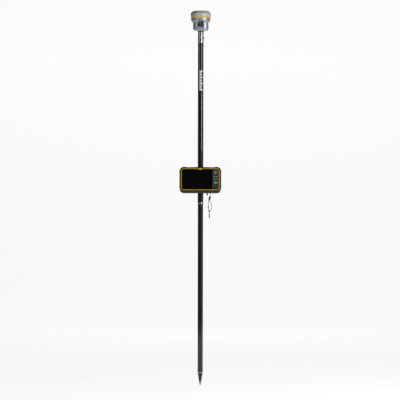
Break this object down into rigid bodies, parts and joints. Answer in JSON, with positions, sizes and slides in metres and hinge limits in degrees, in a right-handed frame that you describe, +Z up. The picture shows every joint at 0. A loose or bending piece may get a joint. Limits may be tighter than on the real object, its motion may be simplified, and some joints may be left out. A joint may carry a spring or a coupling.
{
  "type": "data collector",
  "caption": "Rugged tablet data collector with keys, stylus and lanyard, held by a tilting bracket on a carbon range pole with a receiver on its top.",
  "frame": {"origin": "the point of the pole's tip, on the pole's axis", "axes": "+Z up the pole, -Y the way the tablet faces, +X the tablet's right-hand side"},
  "size_m": [0.236, 0.1949, 2.129],
  "materials": {
    "carbon": "clear-coated carbon fibre twill",
    "tip_steel": "worn hardened steel",
    "silver_metal": "bright turned aluminium",
    "black_plastic": "fine-textured black plastic",
    "grey_anodised": "grey anodised",
    "dark_anodised": "black anodised",
    "housing_grey": "cool silver-grey satin plastic",
    "radome_white": "warm light grey satin plastic",
    "accent_yellow": "yellow satin plastic",
    "panel_slate": "dark slate satin plastic",
    "rubber_dark": "matt dark grey rubber",
    "board_green": "green solder mask",
    "antenna_ceramic": "unglazed ceramic patch",
    "bezel_yellow": "yellow satin plastic",
    "screen_black": "black cover glass over a dark display",
    "key_panel_grey": "fine-textured dark grey plastic",
    "keycap_grey": "grey silicone keys",
    "keycap_green": "green silicone key",
    "cover_plastic": "textured dark grey plastic",
    "battery_plastic": "textured black plastic",
    "cord_black": "braided polyester cord"
  },
  "bodies": {
    "pole_lower": {"tip_point": "tip_steel", "tip_collar": "silver_metal", "tip_cone": "black_plastic", "lower_ring": "silver_metal", "lower_tube": "carbon"},
    "lock_button": {"lock_button": "grey_anodised"},
    "pole_upper": {"joint_ring": "silver_metal", "joint_spigot": "grey_anodised", "upper_tube": "carbon", "top_ring": "silver_metal", "adapter": "grey_anodised"},
    "release_button": {"release_button": "dark_anodised"},
    "receiver": {"base_collar": "black_plastic", "lower_housing": "housing_grey", "side_strip_left": "rubber_dark", "side_strip_right": "rubber_dark", "front_panel": "panel_slate", "accent_ring": "accent_yellow", "antenna_element": "antenna_ceramic", "receiver_board": "board_green", "radome": "radome_white"},
    "receiver_power_button": {"receiver_power_button": "keycap_grey"},
    "receiver_battery": {"receiver_battery": "battery_plastic"},
    "port_cap_left": {"port_cap_left": "rubber_dark"},
    "port_cap_right": {"port_cap_right": "rubber_dark"},
    "clamp": {"clamp_body": "dark_anodised", "pan_pin": "silver_metal"},
    "clamp_pad": {"clamp_pad": "rubber_dark"},
    "clamp_knob": {"clamp_knob": "black_plastic"},
    "swivel": {"swivel_fork": "grey_anodised"},
    "head": {"head_plate": "dark_anodised"},
    "tilt_knob": {"tilt_knob": "black_plastic"},
    "release_plunger": {"release_plunger": "silver_metal"},
    "tablet": {"mount_puck": "dark_anodised", "rear_cover": "cover_plastic", "tablet_bumper": "rubber_dark", "front_bezel": "bezel_yellow", "screen_glass": "screen_black", "display_module": "grey_anodised", "key_panel": "key_panel_grey", "tablet_board": "board_green"},
    "tablet_battery_left": {"tablet_battery_left": "battery_plastic"},
    "tablet_battery_right": {"tablet_battery_right": "battery_plastic"},
    "stylus": {"stylus": "black_plastic"},
    "lanyard": {"link_ring": "silver_metal", "cord_lock": "black_plastic", "cord_left": "cord_black", "cord_right": "cord_black", "cord_bead": "black_plastic", "cord_crimp": "dark_anodised", "cord_end": "black_plastic"},
    "function_key_1": {"function_key_1": "keycap_grey"},
    "function_key_2": {"function_key_2": "keycap_grey"},
    "function_key_3": {"function_key_3": "keycap_grey"},
    "function_key_4": {"function_key_4": "keycap_grey"},
    "home_key": {"home_key": "keycap_grey"},
    "enter_key": {"enter_key": "keycap_green"},
    "direction_pad": {"direction_pad": "keycap_grey"},
    "select_key": {"select_key": "keycap_grey"}
  },
  "joints": [
    {"name": "pole_section_pull", "type": "slide", "parent": "pole_lower", "child": "pole_upper", "axis": [0, 0, 1], "range_m": [0, 0.12]},
    {"name": "lock_button_press", "type": "slide", "parent": "pole_lower", "child": "lock_button", "axis": [0, 1, 0], "range_m": [0, 0.0025], "stiffness_N_per_m": 600},
    {"name": "receiver_lift", "type": "slide", "parent": "pole_upper", "child": "receiver", "axis": [0, 0, 1], "range_m": [0, 0.06]},
    {"name": "release_button_press", "type": "slide", "parent": "pole_upper", "child": "release_button", "axis": [-1, 0, 0], "range_m": [0, 0.0025], "stiffness_N_per_m": 800},
    {"name": "receiver_power_press", "type": "slide", "parent": "receiver", "child": "receiver_power_button", "axis": [0, 1, 0], "range_m": [0, 0.001], "stiffness_N_per_m": 400},
    {"name": "receiver_battery_slide", "type": "slide", "parent": "receiver", "child": "receiver_battery", "axis": [0, 1, 0], "range_m": [0, 0.08]},
    {"name": "port_cap_left_pull", "type": "slide", "parent": "receiver", "child": "port_cap_left", "axis": [0, 1, 0], "range_m": [0, 0.015]},
    {"name": "port_cap_right_pull", "type": "slide", "parent": "receiver", "child": "port_cap_right", "axis": [0, 1, 0], "range_m": [0, 0.015]},
    {"name": "clamp_height", "type": "slide", "parent": "pole_upper", "child": "clamp", "axis": [0, 0, 1], "range_m": [-0.08, 0.5]},
    {"name": "clamp_pad_travel", "type": "slide", "parent": "clamp", "child": "clamp_pad", "axis": [0, 1, 0], "range_m": [0, 0.0038]},
    {"name": "clamp_knob_turn", "type": "hinge", "parent": "clamp_pad", "child": "clamp_knob", "pos_m": [0, 0, 1.153], "axis": [0, 1, 0], "range_deg": [-1080, 0]},
    {"name": "tablet_pan", "type": "hinge", "parent": "clamp", "child": "swivel", "pos_m": [0, -0.036, 1.153], "axis": [0, 0, 1], "range_deg": [-30, 30]},
    {"name": "tablet_tilt", "type": "hinge", "parent": "swivel", "child": "head", "pos_m": [0, -0.052, 1.153], "axis": [1, 0, 0], "range_deg": [-12, 50]},
    {"name": "tilt_knob_turn", "type": "hinge", "parent": "head", "child": "tilt_knob", "pos_m": [0, -0.052, 1.153], "axis": [1, 0, 0], "range_deg": [-360, 360]},
    {"name": "plunger_pull", "type": "slide", "parent": "head", "child": "release_plunger", "axis": [1, 0, 0], "range_m": [0, 0.004], "stiffness_N_per_m": 800},
    {"name": "tablet_lift", "type": "slide", "parent": "head", "child": "tablet", "axis": [0, 0.342, 0.9397], "range_m": [0, 0.045]},
    {"name": "tablet_battery_left_slide", "type": "slide", "parent": "tablet", "child": "tablet_battery_left", "axis": [0, 0.9397, -0.342], "range_m": [0, 0.02]},
    {"name": "tablet_battery_right_slide", "type": "slide", "parent": "tablet", "child": "tablet_battery_right", "axis": [0, 0.9397, -0.342], "range_m": [0, 0.02]},
    {"name": "stylus_pull", "type": "slide", "parent": "tablet", "child": "stylus", "axis": [0, -0.342, -0.9397], "range_m": [0, 0.1]},
    {"name": "lanyard_swing", "type": "hinge", "parent": "tablet", "child": "lanyard", "pos_m": [0.0556, -0.10393, 1.09102], "axis": [1, 0, 0], "range_deg": [-50, 12]},
    {"name": "function_key_1_press", "type": "slide", "parent": "tablet", "child": "function_key_1", "axis": [0, 0.9397, -0.342], "range_m": [0, 0.001], "stiffness_N_per_m": 400},
    {"name": "function_key_2_press", "type": "slide", "parent": "tablet", "child": "function_key_2", "axis": [0, 0.9397, -0.342], "range_m": [0, 0.001], "stiffness_N_per_m": 400},
    {"name": "function_key_3_press", "type": "slide", "parent": "tablet", "child": "function_key_3", "axis": [0, 0.9397, -0.342], "range_m": [0, 0.001], "stiffness_N_per_m": 400},
    {"name": "function_key_4_press", "type": "slide", "parent": "tablet", "child": "function_key_4", "axis": [0, 0.9397, -0.342], "range_m": [0, 0.001], "stiffness_N_per_m": 400},
    {"name": "home_key_press", "type": "slide", "parent": "tablet", "child": "home_key", "axis": [0, 0.9397, -0.342], "range_m": [0, 0.001], "stiffness_N_per_m": 400},
    {"name": "enter_key_press", "type": "slide", "parent": "tablet", "child": "enter_key", "axis": [0, 0.9397, -0.342], "range_m": [0, 0.001], "stiffness_N_per_m": 400},
    {"name": "direction_pad_press", "type": "slide", "parent": "tablet", "child": "direction_pad", "axis": [0, 0.9397, -0.342], "range_m": [0, 0.001], "stiffness_N_per_m": 400},
    {"name": "select_key_press", "type": "slide", "parent": "tablet", "child": "select_key", "axis": [0, 0.9397, -0.342], "range_m": [0, 0.001], "stiffness_N_per_m": 400}
  ],
  "couplings": [
    {"joint": "clamp_pad_travel", "follows": "clamp_knob_turn", "m_per_rad": -0.0002},
    {"joint": "lanyard_swing", "follows": "tablet_tilt", "ratio": -1}
  ]
}
